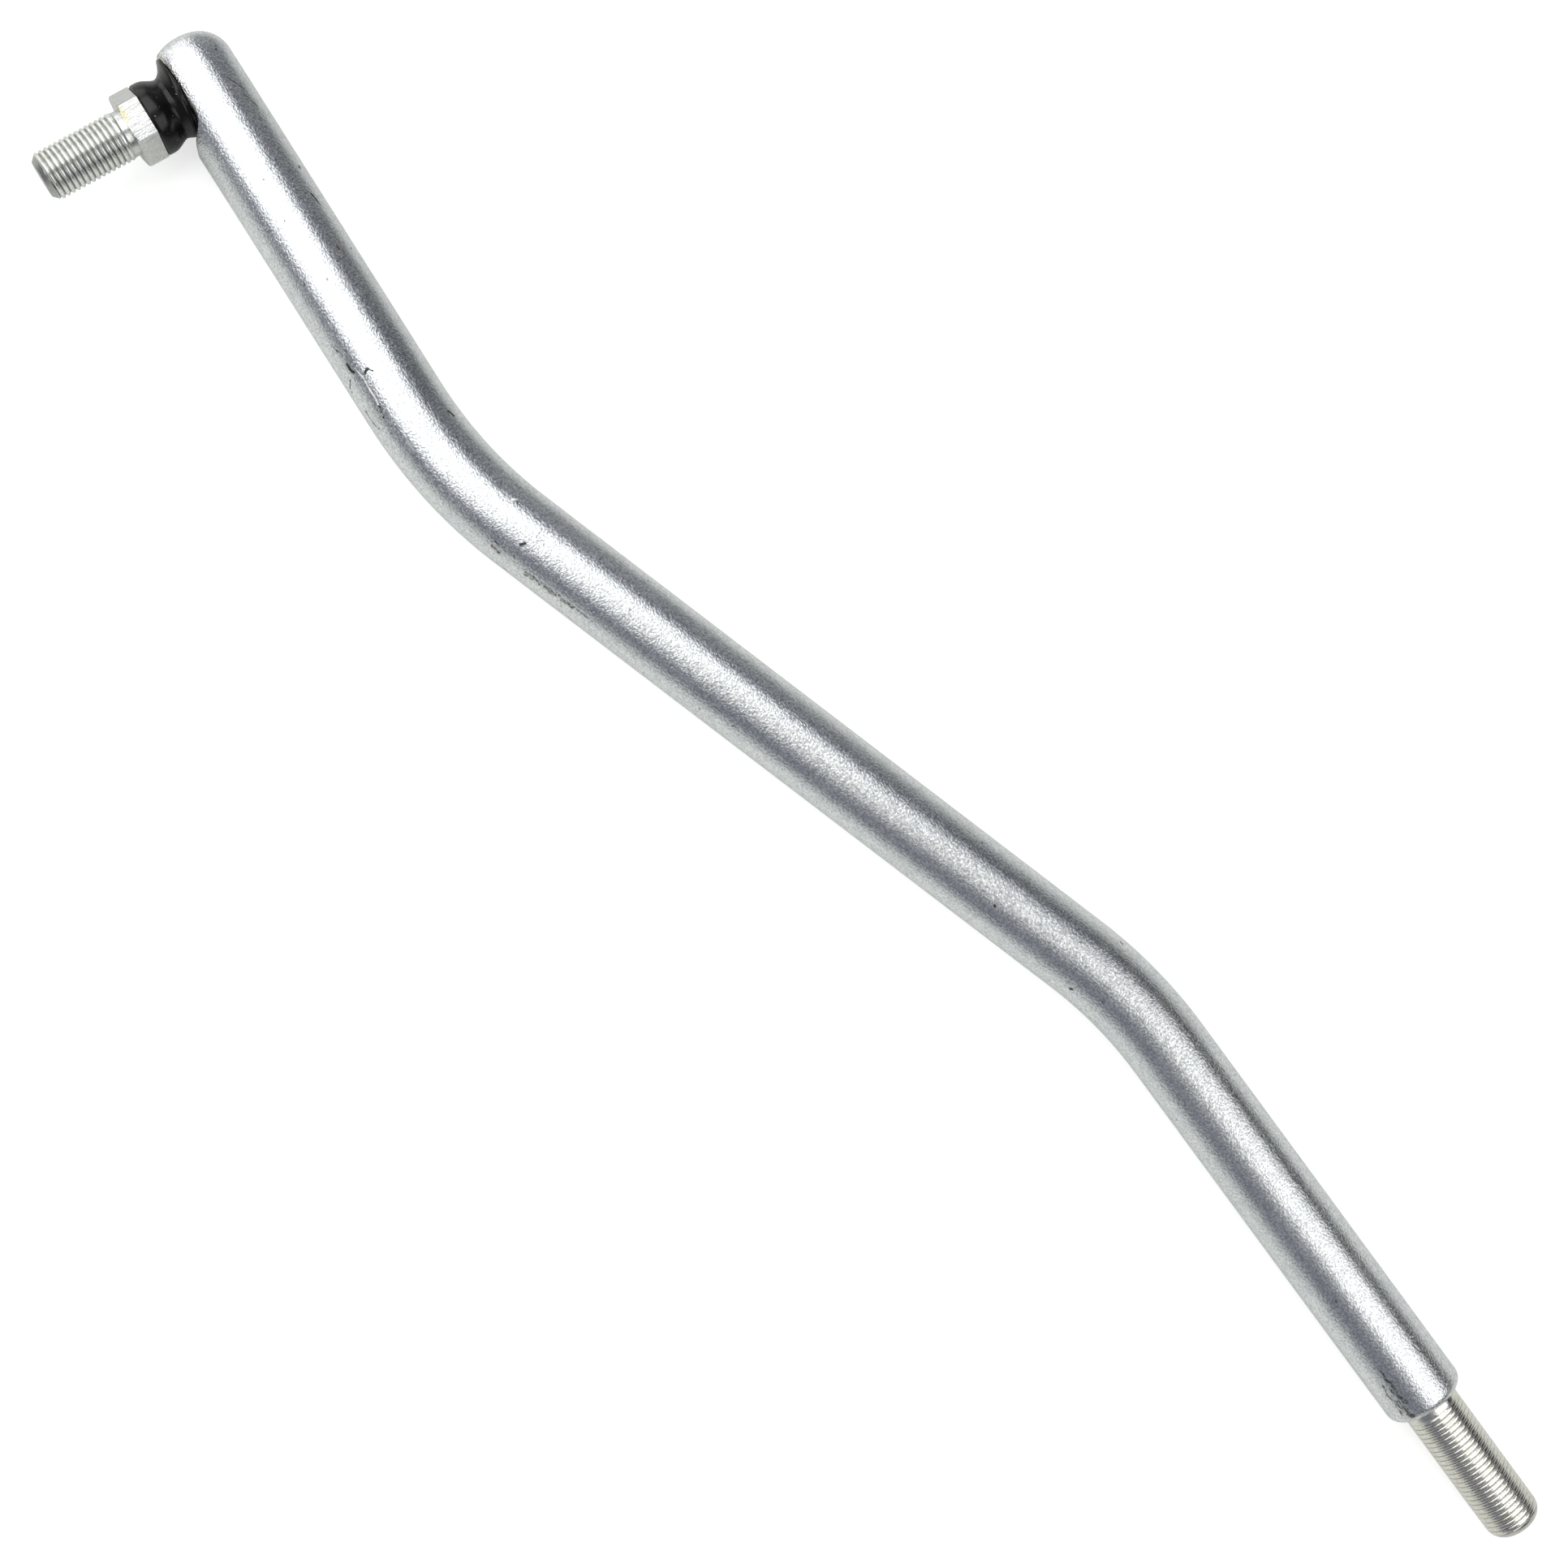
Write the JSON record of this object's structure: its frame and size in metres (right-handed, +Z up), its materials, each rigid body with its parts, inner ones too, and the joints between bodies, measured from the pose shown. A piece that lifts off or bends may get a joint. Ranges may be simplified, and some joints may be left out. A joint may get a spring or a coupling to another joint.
{
  "type": "drag link",
  "caption": "Bent round steering link with a male thread at one end and a transverse ball joint with a rubber boot and threaded stud at the other",
  "frame": {"origin": "centre of the shoulder where the thread at the bar's end begins", "axes": "+X out along that thread, +Z up from the surface the link lies on, with both bends in the XY plane"},
  "size_m": [0.3782, 0.0819, 0.0184],
  "materials": {
    "bar_zinc": "bright zinc plate, finely mottled",
    "stud_zinc": "bright zinc plate over machined steel",
    "boot_rubber": "smooth moulded rubber",
    "seat_plastic": "natural acetal",
    "ring_steel": "plain steel"
  },
  "bodies": {
    "link": {"link_rod": "bar_zinc", "closing_ring": "ring_steel", "dust_boot": "boot_rubber"},
    "race": {"ball_seat": "seat_plastic"},
    "boot_neck": {"neck_ring": "ring_steel"},
    "stud": {"ball_stud": "stud_zinc"}
  },
  "joints": [
    {"name": "race_turn", "type": "hinge", "parent": "link", "child": "race", "pos_m": [-0.338, -0.03906, 0], "axis": [-0.0721, -0.9822, 0.1736], "continuous": true},
    {"name": "stud_tilt", "type": "hinge", "parent": "race", "child": "boot_neck", "pos_m": [-0.338, -0.03906, 0], "axis": [-0.0127, -0.1732, -0.9848], "range_deg": [-12, 12], "deforming": ["dust_boot"]},
    {"name": "stud_spin", "type": "hinge", "parent": "boot_neck", "child": "stud", "pos_m": [-0.338, -0.03906, 0], "axis": [-0.0721, -0.9822, 0.1736], "continuous": true}
  ]
}
